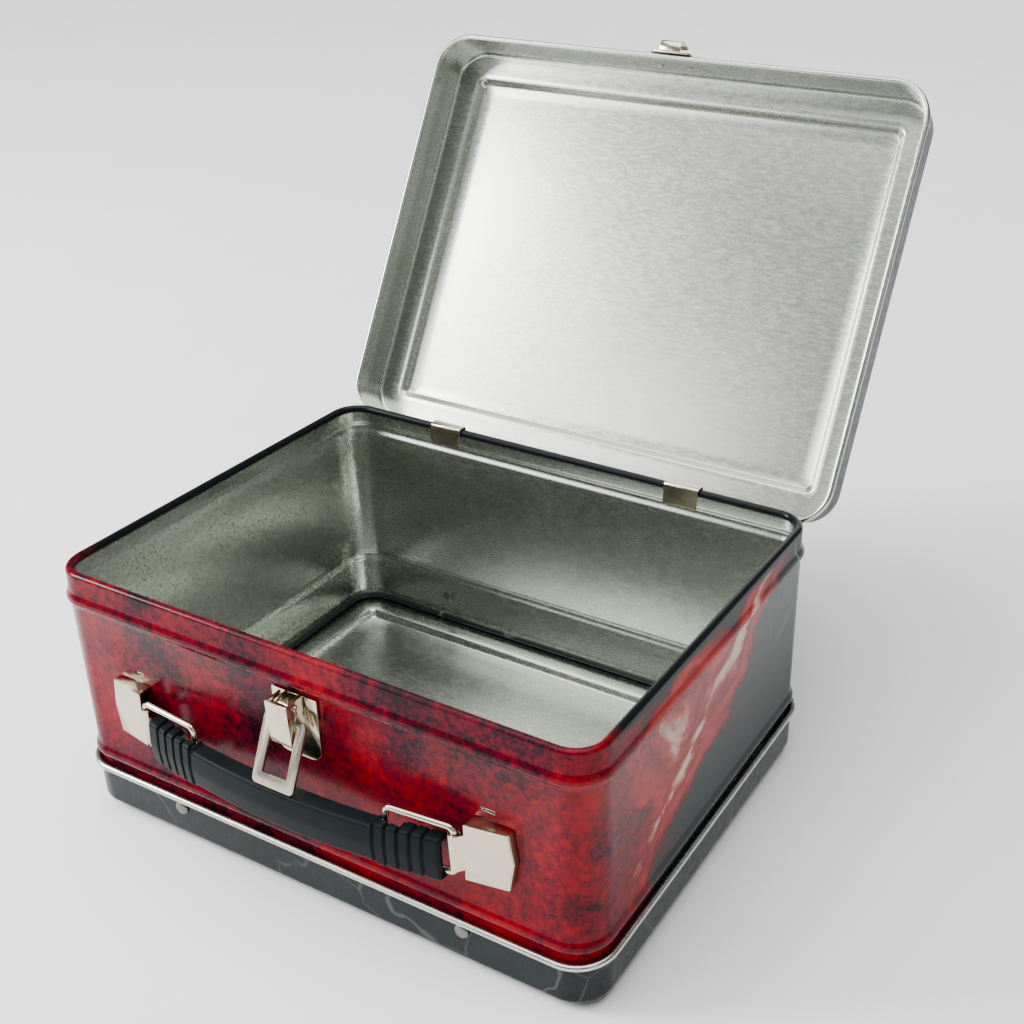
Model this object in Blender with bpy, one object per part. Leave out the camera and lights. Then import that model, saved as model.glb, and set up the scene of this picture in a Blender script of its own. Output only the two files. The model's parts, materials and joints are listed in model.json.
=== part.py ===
"""Metal lunch box: a lithographed sheet steel band with a pressed bottom tray and a pressed
lid, two hinge clips, a hook latch with a wire-frame bail, and a fold-out front handle.

Axes: X runs along the front wall, -Y is the front (handle and latch), +Z is up.
Origin: centre of the raised flat panel under the tray, on which the box stands.
Units are metres. "Standoff" means distance outwards from the band's outer face.
"""
import math

import bmesh
import bpy
from mathutils import Matrix, Vector

MM = 0.001

# ---------------------------------------------------------------- driving dimensions
BAND_WIDTH = 200 * MM            # outside the band, along X
BAND_DEPTH = 153 * MM            # outside the band, along Y
BAND_HEIGHT = 90 * MM            # from the lower roll to the top of the rim
CORNER_RADIUS = 11.5 * MM        # outside the band, in plan
SHEET = 0.5 * MM                 # tinplate of band, tray and lid
CLEARANCE = 0.3 * MM             # between pieces that touch on the real object

PRESSING_DEPTH = 15.5 * MM       # ledge face to the centre of the outward curl
PANEL_RAISE = 3 * MM             # raised panel above the ledge
LEDGE_WIDTH = 11.5 * MM          # skirt to the panel's step
STEP_RUN = 2.4 * MM              # width of the step between ledge and panel
STEP_EASE = 0.2                  # the step's slope eases off over this share of it
PANEL_CORNER = 3 * MM            # the panel's smallest corner radius in plan
PRESSING_CORNER = 2 * MM         # outer radius between skirt and ledge
CURL_RADIUS = 1.1 * MM           # outer radius of the outward curl
TRAY_GAP = 0.3 * MM              # band to tray skirt
LID_GAP = 1.2 * MM               # band to lid skirt
LID_OVERLAP = 5.8 * MM           # rim down to the lid's curl centre when closed
LID_OPEN_ANGLE = 120             # degrees, from closed to the open stop

RIM_ROLL = 1.5 * MM              # outer radius of the band's inward rolls
BEAD_HEIGHT = 5.4 * MM           # each stiffening bead, along Z
BEAD_RELIEF = 1.1 * MM           # how far a bead stands out
BEAD_FROM_CURL = 3 * MM          # lower bead's edge above the tray's curl centre
UPPER_BEAD_DROP = 7.4 * MM       # rim down to the upper bead's top edge

CLIP_SPACING = 102 * MM          # between the hinge clips' centres
CLIP_WIDTH = 13.5 * MM
CLIP_SHEET = 0.35 * MM
CLIP_INNER_LEG = 7 * MM          # down inside the band
CLIP_TAIL = 5.5 * MM             # stop tail behind the curl
WINDOW_MARGIN = 0.5 * MM         # skirt window wider than the clip, each side
WINDOW_HEIGHT = 4 * MM

RIVET_SPACING = 112 * MM         # between a wall's two tray rivets
RIVET_BELOW_CURL = 3.8 * MM
RIVET_SHANK = 1.2 * MM
RIVET_HEAD = 2.5 * MM
RIVET_HEAD_HEIGHT = 1.0 * MM

PLATE_WIDTH = 16.7 * MM          # latch back plate
PLATE_HEIGHT = 22.5 * MM
PLATE_BELOW_BEAD = 0.4 * MM      # upper bead down to the plate's top edge
PLATE_CORNER = 4 * MM            # lower corners' radius
PLATE_SHEET = 0.7 * MM
EAR_RADIUS = 1.7 * MM            # hinge ears about the lever's pin
LEVER_WIDTH = 8 * MM
LEVER_SHEET = 0.6 * MM
LEVER_ABOVE_PLATE = 0.9 * MM     # lever's top edge above the plate's
LEVER_LENGTH = 16 * MM           # top edge to lower end
LEVER_PIVOT_DROP = 2.5 * MM      # lever's top edge down to its pivot
LEVER_PIVOT_STANDOFF = 5.0 * MM
LEVER_FACE_TOP = 8.9 * MM        # standoff of the lever's face at its top
LEVER_FACE_FOOT = 8.3 * MM       # and near its foot
PIN_RADIUS = 0.7 * MM
BAIL_SIDE_PLAY = 0.65 * MM       # lever's cheek to the bail's arm
BAIL_ARM = 3.1 * MM
BAIL_EYE = 1.5 * MM              # outer corners' radius
BAIL_REACH = 20.2 * MM           # pivot to the crossbar's outer edge
BAIL_CROSSBAR = 3.8 * MM
BAIL_SHEET = 1.0 * MM
BAIL_PIVOT_BELOW_LEVER = 6.0 * MM
BAIL_REST_ANGLE = 25             # degrees outwards from straight down

CATCH_WIDTH = 16.8 * MM
CATCH_HEIGHT = 11 * MM           # above the lid's curl centre
CATCH_SHEET = 0.6 * MM
HOOK_SIDE_PLAY = 0.35 * MM       # hook to the bail's window
HOOK_REACH = 8.5 * MM            # standoff of the hook's outer face
HOOK_LIP = 4.6 * MM              # lip's end above the curl centre
CATCH_RIVET_SPACING = 12.6 * MM
CATCH_RIVET_SHANK = 0.6 * MM
CATCH_RIVET_HEAD = 1.1 * MM

HANDLE_DROP = 43.1 * MM          # rim down to the loops' mid height
GRIP_SAG = 3.4 * MM              # grip hangs this far below the loops' mid height
GRIP_HEIGHT_MIDDLE = 13 * MM
GRIP_HEIGHT_END = 15.2 * MM
GRIP_BLOCK_LENGTH = 21 * MM      # each taller ribbed end block
GRIP_FACE_MIDDLE = 15.2 * MM     # standoff of the outer face
GRIP_FACE_END = 9.4 * MM
GRIP_BACK_MIDDLE = 9.2 * MM      # standoff of the hollow back's edges
GRIP_BACK_END = 4.4 * MM
GRIP_END_GAP = 3.3 * MM          # grip's end to the loop's pivot
GRIP_WALL = 1.4 * MM
GRIP_CROWN = 0.5 * MM            # mid height stands out beyond the rounded edges
GRIP_EDGE_RADIUS = 2.2 * MM
GRIP_TRAVEL = 11 * MM            # how far the handle pulls out
WIRE_RADIUS = 1.0 * MM
LOOP_PIVOT_STANDOFF = 5.8 * MM
LOOP_TIP_STANDOFF = 7.8 * MM
LOOP_LENGTH = 22.4 * MM          # pivot to tips, along X
LOOP_HEIGHT = 16.4 * MM          # between the two long wires' centres
LOOP_BEND = 2.0 * MM             # centre line radius of its corners
UPPER_TIP = 6.2 * MM             # upper tip's length below its wire
LOWER_TIP = 2.6 * MM             # lower tip's length below its wire
SLOT_PLAY = 0.6 * MM             # play round a loop's tip in its slot

BRACKET_SHEET = 0.7 * MM
BRACKET_HEIGHT = 19.8 * MM
BRACKET_LENGTH = 13.5 * MM       # face, along X
BRACKET_POINT = 1.5 * MM         # outer end's mid height stands out this far
BRACKET_NECK_HEIGHT = 12.5 * MM
BRACKET_NECK_LENGTH = 2.7 * MM   # face's inner end to the loop's pivot
BRACKET_FROM_CORNER = 13.3 * MM  # where the wall starts to turn, to the bracket
BRACKET_FACE_OUTER = 3.2 * MM    # standoff of the face at its outer end
BRACKET_FACE_INNER = 5.3 * MM    # and at its inner end
PRONG_WIDTH = 4.2 * MM
PRONG_FROM_OUTER = 8.5 * MM      # bracket's outer end to the prongs' centre
PRONG_CLINCH = 4 * MM            # length bent over inside the band

CORNER_STEPS = 5
ROLL_STEPS = 6

# ---------------------------------------------------------------- worked-out places
HALF_WIDTH = BAND_WIDTH / 2
HALF_DEPTH = BAND_DEPTH / 2
FRONT = -HALF_DEPTH
BACK = HALF_DEPTH
TRAY_CURL_Z = PANEL_RAISE + PRESSING_DEPTH
BAND_BOTTOM = PANEL_RAISE + SHEET + CLEARANCE + 0.2 * MM
RIM_TOP = BAND_BOTTOM + BAND_HEIGHT
LID_CURL_Z = RIM_TOP - LID_OVERLAP
HINGE_Y = BACK + LID_GAP + CURL_RADIUS
HINGE = Vector((0, HINGE_Y, LID_CURL_Z))
UPPER_BEAD_BOTTOM = RIM_TOP - UPPER_BEAD_DROP - BEAD_HEIGHT
PLATE_TOP = UPPER_BEAD_BOTTOM - PLATE_BELOW_BEAD
PRONG_Z = PLATE_TOP - PLATE_HEIGHT * 0.43
LEVER_TOP = PLATE_TOP + LEVER_ABOVE_PLATE
LEVER_PIVOT = Vector((0, FRONT - LEVER_PIVOT_STANDOFF, LEVER_TOP - LEVER_PIVOT_DROP))
BAIL_PIVOT = LEVER_PIVOT + Vector((0, -0.5 * MM, -BAIL_PIVOT_BELOW_LEVER))
BAIL_WINDOW = LEVER_WIDTH + 2 * BAIL_SIDE_PLAY
BAIL_WIDTH = BAIL_WINDOW + 2 * BAIL_ARM
HOOK_WIDTH = BAIL_WINDOW - 2 * HOOK_SIDE_PLAY
BRACKET_OUTER_X = HALF_WIDTH - CORNER_RADIUS - BRACKET_FROM_CORNER
BRACKET_INNER_X = BRACKET_OUTER_X - BRACKET_LENGTH
PRONG_X = BRACKET_OUTER_X - PRONG_FROM_OUTER
LOOP_PIVOT_X = BRACKET_INNER_X - BRACKET_NECK_LENGTH
LOOP_TIP_X = LOOP_PIVOT_X - LOOP_LENGTH
GRIP_HALF_LENGTH = LOOP_PIVOT_X - GRIP_END_GAP
LOOP_Z = RIM_TOP - HANDLE_DROP
GRIP_Z = LOOP_Z - GRIP_SAG


# ---------------------------------------------------------------- helpers
def arc(centre_a, centre_b, radius, start, end, steps):
    """Points on an arc in a plane, from start to end in degrees."""
    points = []
    for i in range(steps + 1):
        angle = math.radians(start + (end - start) * i / steps)
        points.append((centre_a + radius * math.cos(angle), centre_b + radius * math.sin(angle)))
    return points


def thicken(path, thickness):
    """Outline of a strip of this thickness, with the path as its centre line."""
    normals = []
    for (a0, b0), (a1, b1) in zip(path, path[1:]):
        length = math.hypot(a1 - a0, b1 - b0)
        normals.append(((b0 - b1) / length, (a1 - a0) / length))
    left, right = [], []
    for i, (a, b) in enumerate(path):
        before = normals[max(i - 1, 0)]
        after = normals[min(i, len(normals) - 1)]
        scale = thickness / (1 + before[0] * after[0] + before[1] * after[1])
        da = (before[0] + after[0]) * scale / 2
        db = (before[1] + after[1]) * scale / 2
        left.append((a + da, b + db))
        right.append((a - da, b - db))
    return left, right


def strip_outline(path, thickness):
    left, right = thicken(path, thickness)
    return left + right[::-1]


def plan_ring(standoff):
    """The band's rounded rectangle in plan, moved outwards by standoff."""
    radius = max(CORNER_RADIUS + standoff, PANEL_CORNER)
    points = []
    for start, sx, sy in ((0, 1, 1), (90, -1, 1), (180, -1, -1), (270, 1, -1)):
        centre_x = sx * (HALF_WIDTH + standoff - radius)
        centre_y = sy * (HALF_DEPTH + standoff - radius)
        points += arc(centre_x, centre_y, radius, start, start + 90, CORNER_STEPS)
    return points


def new_object(name, bm, material):
    bmesh.ops.recalc_face_normals(bm, faces=bm.faces)
    if bm.calc_volume(signed=True) < 0:
        bmesh.ops.reverse_faces(bm, faces=bm.faces)
    mesh = bpy.data.meshes.new(name)
    bm.to_mesh(mesh)
    bm.free()
    obj = bpy.data.objects.new(name, mesh)
    bpy.context.scene.collection.objects.link(obj)
    if material:
        mesh.materials.append(material)
    return obj


def swept_sheet(name, profile, material, capped):
    """Sweep a (standoff, z) outline round the band's plan. A capped one is a pressing:
    its two ends are closed by flat panels instead of meeting each other."""
    bm = bmesh.new()
    rings = []
    for standoff, z in profile:
        ring = [bm.verts.new((x, y, z)) for x, y in plan_ring(standoff)]
        rings.append(ring)
    pairs = list(zip(rings, rings[1:]))
    if capped:
        bm.faces.new(rings[0])
        bm.faces.new(rings[-1])
    else:
        pairs.append((rings[-1], rings[0]))
    for lower, upper in pairs:
        count = len(lower)
        for i in range(count):
            j = (i + 1) % count
            bm.faces.new((lower[i], lower[j], upper[j], upper[i]))
    return new_object(name, bm, material)


def prism(name, outline, low, high, place, material=None):
    """Extrude an outline from low to high. place maps (a, b, height) to a point."""
    bm = bmesh.new()
    floor = [bm.verts.new(place(a, b, low)) for a, b in outline]
    roof = [bm.verts.new(place(a, b, high)) for a, b in outline]
    bm.faces.new(floor)
    bm.faces.new(roof)
    count = len(outline)
    for i in range(count):
        j = (i + 1) % count
        bm.faces.new((floor[i], floor[j], roof[j], roof[i]))
    return new_object(name, bm, material)


def box(name, low, high, material=None):
    outline = ((low[0], low[1]), (high[0], low[1]), (high[0], high[1]), (low[0], high[1]))
    return prism(name, outline, low[2], high[2], at_xy, material)


def at_xy(x, y, z):
    return Vector((x, y, z))


def front_side(standoff, z, x):
    """Side view of the front wall: standoff, height, then place along X."""
    return Vector((x, FRONT - standoff, z))


def back_side(y, z, x):
    return Vector((x, y, z))


def cylinder(name, start, end, radius, sides=12, material=None):
    """A round bar between two points."""
    axis = end - start
    turn = axis.to_track_quat("Z", "Y")
    outline = [(radius * math.cos(2 * math.pi * i / sides),
                radius * math.sin(2 * math.pi * i / sides)) for i in range(sides)]
    return prism(name, outline, 0, axis.length,
                 lambda a, b, h: start + turn @ Vector((a, b, h)), material)


def turned(name, start, direction, profile, sides=12, material=None):
    """A turned piece: profile holds (radius, distance along direction)."""
    turn = direction.to_track_quat("Z", "Y")
    bm = bmesh.new()
    rings = []
    for radius, along in profile:
        ring = []
        for i in range(sides):
            angle = 2 * math.pi * i / sides
            local = Vector((radius * math.cos(angle), radius * math.sin(angle), along))
            ring.append(bm.verts.new(start + turn @ local))
        rings.append(ring)
    bm.faces.new(rings[0])
    bm.faces.new(rings[-1])
    for lower, upper in zip(rings, rings[1:]):
        for i in range(sides):
            j = (i + 1) % sides
            bm.faces.new((lower[i], lower[j], upper[j], upper[i]))
    return new_object(name, bm, material)


def tube(name, points, radius, material, sides=8):
    """A round wire through a list of points, with flat ends."""
    bm = bmesh.new()
    rings = []
    side = None
    for i, point in enumerate(points):
        before = points[max(i - 1, 0)]
        after = points[min(i + 1, len(points) - 1)]
        along = (after - before).normalized()
        if side is None:
            side = along.orthogonal().normalized()
        side = (side - along * side.dot(along)).normalized()
        across = along.cross(side)
        ring = []
        for k in range(sides):
            angle = 2 * math.pi * k / sides
            offset = side * math.cos(angle) + across * math.sin(angle)
            ring.append(bm.verts.new(point + offset * radius))
        rings.append(ring)
    bm.faces.new(rings[0])
    bm.faces.new(rings[-1])
    for lower, upper in zip(rings, rings[1:]):
        for i in range(sides):
            j = (i + 1) % sides
            bm.faces.new((lower[i], lower[j], upper[j], upper[i]))
    return new_object(name, bm, material)


def combine(target, tool, operation, solver="EXACT"):
    """Apply a Boolean with a tool body, then remove the tool."""
    modifier = target.modifiers.new("combine", "BOOLEAN")
    modifier.operation = operation
    modifier.solver = solver
    modifier.object = tool
    bpy.context.view_layer.update()
    graph = bpy.context.evaluated_depsgraph_get()
    mesh = bpy.data.meshes.new_from_object(target.evaluated_get(graph))
    target.modifiers.clear()
    target.data = mesh
    bpy.data.objects.remove(tool)


def cut(target, tool):
    combine(target, tool, "DIFFERENCE")


def weld(target, tool):
    combine(target, tool, "UNION")


def shade(obj, angle=40):
    obj.data.shade_smooth()
    obj.data.set_sharp_from_angle(angle=math.radians(angle))


def empty_at(name, point):
    pivot = bpy.data.objects.new(name, None)
    pivot.location = point
    pivot.empty_display_size = 0.01
    bpy.context.scene.collection.objects.link(pivot)
    return pivot


def hang_on(obj, pivot):
    """Parent a piece to a pivot, with the piece's origin on the pivot's axis."""
    obj.data.transform(Matrix.Translation(-pivot.location))
    obj.parent = pivot


def material(name, colour, roughness, metallic):
    mat = bpy.data.materials.new(name)
    mat.use_nodes = True
    shader = mat.node_tree.nodes["Principled BSDF"]
    shader.inputs["Base Color"].default_value = (*colour, 1)
    shader.inputs["Roughness"].default_value = roughness
    shader.inputs["Metallic"].default_value = metallic
    return mat


# ---------------------------------------------------------------- shells
def pressing_path(gap):
    """Centre line of a pressing as (standoff, height above its panel's face)."""
    half = SHEET / 2
    skirt = gap + half
    step = skirt + half - LEDGE_WIDTH
    ledge = PANEL_RAISE + half
    radius = PRESSING_CORNER - half
    path = [(step - STEP_RUN, half),
            (step - STEP_RUN / 2, half),
            (step - STEP_RUN * STEP_EASE, half + PANEL_RAISE * STEP_EASE),
            (step + STEP_RUN * STEP_EASE, ledge - PANEL_RAISE * STEP_EASE),
            (step + STEP_RUN / 2, ledge)]
    path += arc(skirt - radius, ledge + radius, radius, -90, 0, 4)
    roll = CURL_RADIUS - half
    path += arc(skirt + roll, PANEL_RAISE + PRESSING_DEPTH, roll, 180, -65, ROLL_STEPS)
    return path


def pressing_profile(gap, flip_about=None):
    """Closed outline of a pressing, turned upside down for the lid."""
    left, right = thicken(pressing_path(gap), SHEET)
    profile = left + right[::-1]
    if flip_about is not None:
        profile = [(standoff, flip_about - height) for standoff, height in profile]
    return profile


def bead(bottom):
    """Centre line of a shallow outward bead on the wall."""
    wall = -SHEET / 2
    return [(wall + BEAD_RELIEF * relief, bottom + BEAD_HEIGHT * share)
            for share, relief in ((0, 0), (0.22, 0.75), (0.5, 1), (0.78, 0.75), (1, 0))]


def make_band(mat):
    roll = RIM_ROLL - SHEET / 2
    wall = -SHEET / 2
    path = arc(wall - roll, BAND_BOTTOM + RIM_ROLL, roll, -250, 0, ROLL_STEPS)
    path += bead(TRAY_CURL_Z + BEAD_FROM_CURL)
    path += bead(UPPER_BEAD_BOTTOM)
    path += arc(wall - roll, RIM_TOP - RIM_ROLL, roll, 0, 250, ROLL_STEPS)
    band = swept_sheet("body_band", strip_outline(path, SHEET), mat, capped=False)
    for x in (-RIVET_SPACING / 2, RIVET_SPACING / 2):
        for side in (-1, 1):
            cut(band, rivet_hole(x, side))
    for low, high in bracket_slots() + latch_slots():
        cut(band, box("slot", low, high))
    return band


def rivet_hole(x, side):
    z = TRAY_CURL_Z - RIVET_BELOW_CURL
    start = Vector((x, side * (HALF_DEPTH - 3 * MM), z))
    end = Vector((x, side * (HALF_DEPTH + 3 * MM), z))
    return cylinder("rivet_hole", start, end, RIVET_SHANK + CLEARANCE)


def make_tray(mat):
    tray = swept_sheet("bottom_tray", pressing_profile(TRAY_GAP), mat, capped=True)
    for x in (-RIVET_SPACING / 2, RIVET_SPACING / 2):
        for side in (-1, 1):
            cut(tray, rivet_hole(x, side))
    return tray


def make_tray_rivets(mat):
    """Two rivets through the front wall and two through the back."""
    z = TRAY_CURL_Z - RIVET_BELOW_CURL
    outer = TRAY_GAP + SHEET + CLEARANCE
    inner = -SHEET - CLEARANCE
    profile = [(RIVET_HEAD * 0.7, inner - 0.7 * MM),
               (RIVET_HEAD * 0.9, inner - 0.35 * MM),
               (RIVET_HEAD * 0.9, inner),
               (RIVET_SHANK, inner),
               (RIVET_SHANK, outer),
               (RIVET_HEAD, outer),
               (RIVET_HEAD * 0.85, outer + RIVET_HEAD_HEIGHT * 0.6),
               (RIVET_HEAD * 0.45, outer + RIVET_HEAD_HEIGHT)]
    rivets = []
    for wall, side in (("front", -1), ("back", 1)):
        for hand, x in (("left", -RIVET_SPACING / 2), ("right", RIVET_SPACING / 2)):
            start = Vector((x, side * HALF_DEPTH, z))
            name = "tray_rivet_" + wall + "_" + hand
            rivets.append(turned(name, start, Vector((0, side, 0)), profile, 12, mat))
    return rivets


def make_lid(mat):
    """The lid is modelled closed; its pivot turns it to the open stop."""
    top = LID_CURL_Z + PRESSING_DEPTH + PANEL_RAISE
    profile = pressing_profile(LID_GAP, flip_about=top)
    lid = swept_sheet("lid", profile, mat, capped=True)
    half = CLIP_WIDTH / 2 + WINDOW_MARGIN
    for x in (-CLIP_SPACING / 2, CLIP_SPACING / 2):
        low = (x - half, HINGE_Y - CURL_RADIUS - 0.2 * MM, LID_CURL_Z)
        high = (x + half, HINGE_Y - CURL_RADIUS + SHEET + 0.1 * MM, LID_CURL_Z + WINDOW_HEIGHT)
        cut(lid, box("window", low, high))
    for x in (-CATCH_RIVET_SPACING / 2, CATCH_RIVET_SPACING / 2):
        start = front_side(0, catch_rivet_z(), x)
        end = front_side(4 * MM, catch_rivet_z(), x)
        cut(lid, cylinder("catch_hole", start, end, CATCH_RIVET_SHANK + CLEARANCE, 10))
    return lid


# ---------------------------------------------------------------- hinge clips
def clip_path():
    """Side view (y, z) of a clip: inner leg, over the rim, round the lid's curl, then a
    tail on which the opened lid's skirt comes to rest."""
    half = CLIP_SHEET / 2
    wrap = CURL_RADIUS + CLEARANCE + half
    top = RIM_TOP + CLEARANCE + half
    inner = BACK - 2 * RIM_ROLL - CLEARANCE - half
    outer = HINGE_Y - wrap
    path = [(inner - 0.9 * MM, RIM_TOP - CLIP_INNER_LEG), (inner, RIM_TOP - 1.5 * MM)]
    path += arc(inner + 0.9 * MM, top - 0.9 * MM, 0.9 * MM, 180, 90, 3)
    path += arc(outer - 0.9 * MM, top - 0.9 * MM, 0.9 * MM, 90, 0, 3)
    tail_turn = LID_OPEN_ANGLE - 90
    path += arc(HINGE_Y, LID_CURL_Z, wrap, 180, 360 - tail_turn - 20, 7)
    tail = math.radians(-tail_turn)
    drop = 0.05 * MM
    for along in (wrap + 1.0 * MM, wrap + CLIP_TAIL):
        path.append((HINGE_Y + along * math.cos(tail) + drop * math.sin(tail),
                     LID_CURL_Z + along * math.sin(tail) - drop * math.cos(tail)))
    return path


def make_hinge_clip(name, x, mat):
    outline = strip_outline(clip_path(), CLIP_SHEET)
    return prism(name, outline, x - CLIP_WIDTH / 2, x + CLIP_WIDTH / 2, back_side, mat)


# ---------------------------------------------------------------- catch on the lid
def catch_rivet_z():
    return LID_CURL_Z + CATCH_HEIGHT * 0.6


def make_catch_plate(mat):
    """Base on the lid's skirt, an apron over the curl and a hook for the bail."""
    c = LID_CURL_Z
    half = CATCH_SHEET / 2
    base = LID_GAP + SHEET + CLEARANCE + half
    apron = LID_GAP + 2 * CURL_RADIUS + CLEARANCE + half
    path = [(base, c + CATCH_HEIGHT), (base, c + 3.3 * MM), (apron, c + 1.6 * MM),
            (apron, c - 0.4 * MM), (apron, c - 1.8 * MM)]
    plate = prism("catch_plate", strip_outline(path, CATCH_SHEET),
                  -CATCH_WIDTH / 2, CATCH_WIDTH / 2, front_side, mat)
    for vertex in plate.data.vertices:
        if vertex.co.z < c - 1.2 * MM:
            vertex.co.x *= 0.84
    face = HOOK_REACH - half
    hook = [(apron, c + 0.6 * MM)]
    hook += arc(apron + 0.8 * MM, c - 1.0 * MM, 0.8 * MM, 180, 270, 3)
    hook += arc(face - 1.2 * MM, c - 0.6 * MM, 1.2 * MM, -90, 0, 4)
    hook += arc(face - 1.6 * MM, c + HOOK_LIP - 1.6 * MM, 1.6 * MM, 0, 65, 4)
    weld(plate, prism("hook", strip_outline(hook, CATCH_SHEET),
                      -HOOK_WIDTH / 2, HOOK_WIDTH / 2, front_side))
    for x in (-CATCH_RIVET_SPACING / 2, CATCH_RIVET_SPACING / 2):
        start = front_side(base - 2 * MM, catch_rivet_z(), x)
        end = front_side(base + 2 * MM, catch_rivet_z(), x)
        cut(plate, cylinder("hole", start, end, CATCH_RIVET_SHANK + CLEARANCE, 10))
    return plate


def make_catch_rivets(mat):
    outer = LID_GAP + SHEET + CLEARANCE + CATCH_SHEET + CLEARANCE
    inner = LID_GAP - CLEARANCE
    profile = [(CATCH_RIVET_HEAD * 0.8, inner - 0.35 * MM),
               (CATCH_RIVET_HEAD, inner),
               (CATCH_RIVET_SHANK, inner),
               (CATCH_RIVET_SHANK, outer),
               (CATCH_RIVET_HEAD, outer),
               (CATCH_RIVET_HEAD * 0.6, outer + 0.5 * MM)]
    rivets = []
    for hand, x in (("left", -CATCH_RIVET_SPACING / 2), ("right", CATCH_RIVET_SPACING / 2)):
        start = Vector((x, FRONT, catch_rivet_z()))
        name = "catch_rivet_" + hand
        rivets.append(turned(name, start, Vector((0, -1, 0)), profile, 10, mat))
    return rivets


# ---------------------------------------------------------------- latch
def latch_slots():
    """Slots in the front wall for the back plate's side prongs."""
    z = PRONG_Z
    x = PLATE_WIDTH / 2 - PLATE_SHEET / 2
    reach = PLATE_SHEET / 2 + CLEARANCE
    slots = []
    for side in (-1, 1):
        slots.append(((side * x - reach, FRONT - 2 * MM, z - PRONG_WIDTH / 2 - CLEARANCE),
                      (side * x + reach, FRONT + 2 * MM, z + PRONG_WIDTH / 2 + CLEARANCE)))
    return slots


def clinched_prong(name, across, reach_in, place, low, high):
    """A prong through the wall, bent over flat against the wall's inner face."""
    inside = -SHEET - CLEARANCE - PLATE_SHEET / 2
    path = [(reach_in, across), (inside, across), (inside, across + PRONG_CLINCH)]
    return prism(name, strip_outline(path, PLATE_SHEET), low, high, place)


def make_latch_backplate(mat):
    top = PLATE_TOP
    bottom = top - PLATE_HEIGHT
    half = PLATE_WIDTH / 2
    corner = PLATE_CORNER
    outline = [(half, top), (-half, top)]
    outline += arc(-half + corner, bottom + corner, corner, 180, 270, 4)
    outline += arc(half - corner, bottom + corner, corner, 270, 360, 4)
    near, far = CLEARANCE, CLEARANCE + PLATE_SHEET
    plate = prism("latch_backplate", outline, near, far,
                  lambda x, z, s: Vector((x, FRONT - s, z)), mat)
    ear_out = LEVER_WIDTH / 2 - LEVER_SHEET - CLEARANCE
    pivot_s, pivot_z = LEVER_PIVOT_STANDOFF, LEVER_PIVOT.z
    ear = [(near + 0.1 * MM, pivot_z - 4 * MM)]
    ear += arc(pivot_s, pivot_z, EAR_RADIUS, -60, 90, 5)
    ear += [(near + 0.1 * MM, pivot_z + EAR_RADIUS)]
    for side in (-1, 1):
        low, high = sorted((side * ear_out, side * (ear_out - PLATE_SHEET)))
        weld(plate, prism("ear", ear, low, high, front_side))
    reach = LEVER_WIDTH
    cut(plate, cylinder("hole", LEVER_PIVOT - Vector((reach, 0, 0)),
                        LEVER_PIVOT + Vector((reach, 0, 0)), PIN_RADIUS + CLEARANCE / 2))
    prong_x = half - PLATE_SHEET / 2
    for side in (-1, 1):
        weld(plate, clinched_prong(
            "prong", prong_x, near + 0.3 * MM,
            lambda s, a, h, side=side: Vector((side * a, FRONT - s, h)),
            PRONG_Z - PRONG_WIDTH / 2, PRONG_Z + PRONG_WIDTH / 2))
    return plate


def make_lever_pin(mat):
    half = LEVER_WIDTH / 2 + CLEARANCE
    profile = [(PIN_RADIUS * 1.3, -half - 0.25 * MM),
               (PIN_RADIUS * 1.5, -half),
               (PIN_RADIUS, -half),
               (PIN_RADIUS, half),
               (PIN_RADIUS * 1.5, half),
               (PIN_RADIUS * 1.3, half + 0.25 * MM)]
    return turned("lever_pin", LEVER_PIVOT, Vector((1, 0, 0)), profile, 12, mat)


def make_lever(mat):
    """A channel open at its top and back, with a rounded foot."""
    top, foot = LEVER_TOP, LEVER_TOP - LEVER_LENGTH
    half = LEVER_SHEET / 2
    face_top, face_foot = LEVER_FACE_TOP - half, LEVER_FACE_FOOT - half
    path = [(face_top, top), (face_foot, foot + 2.5 * MM)]
    path += arc(face_foot - 2.2 * MM, foot + 2.5 * MM, 2.2 * MM, -20, -75, 3)
    lever = prism("latch_lever", strip_outline(path, LEVER_SHEET),
                  -LEVER_WIDTH / 2, LEVER_WIDTH / 2, front_side, mat)
    cheek = [(LEVER_PIVOT_STANDOFF - 2.6 * MM, top),
             (LEVER_PIVOT_STANDOFF - 2.6 * MM, top - 10 * MM),
             (face_foot - 2.2 * MM, foot + 1.0 * MM),
             (face_foot - 0.4 * MM, foot + 1.5 * MM),
             (face_foot, foot + 2.5 * MM),
             (face_top, top)]
    for side in (-1, 1):
        outer = side * LEVER_WIDTH / 2
        low, high = sorted((outer, outer - side * LEVER_SHEET))
        weld(lever, prism("cheek", cheek, low, high, front_side))
    for pivot, radius in ((LEVER_PIVOT, PIN_RADIUS), (BAIL_PIVOT, PIN_RADIUS)):
        reach = Vector((LEVER_WIDTH, 0, 0))
        cut(lever, cylinder("hole", pivot - reach, pivot + reach, radius + CLEARANCE / 2))
    return lever


def on_bail(x, along, height):
    """Place (x, distance from the pivot, height above the bail's mid plane)."""
    angle = math.radians(BAIL_REST_ANGLE)
    down = Vector((0, -math.sin(angle), -math.cos(angle)))
    outwards = Vector((0, -math.cos(angle), math.sin(angle)))
    return BAIL_PIVOT + Vector((x, 0, 0)) + down * along + outwards * height


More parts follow.
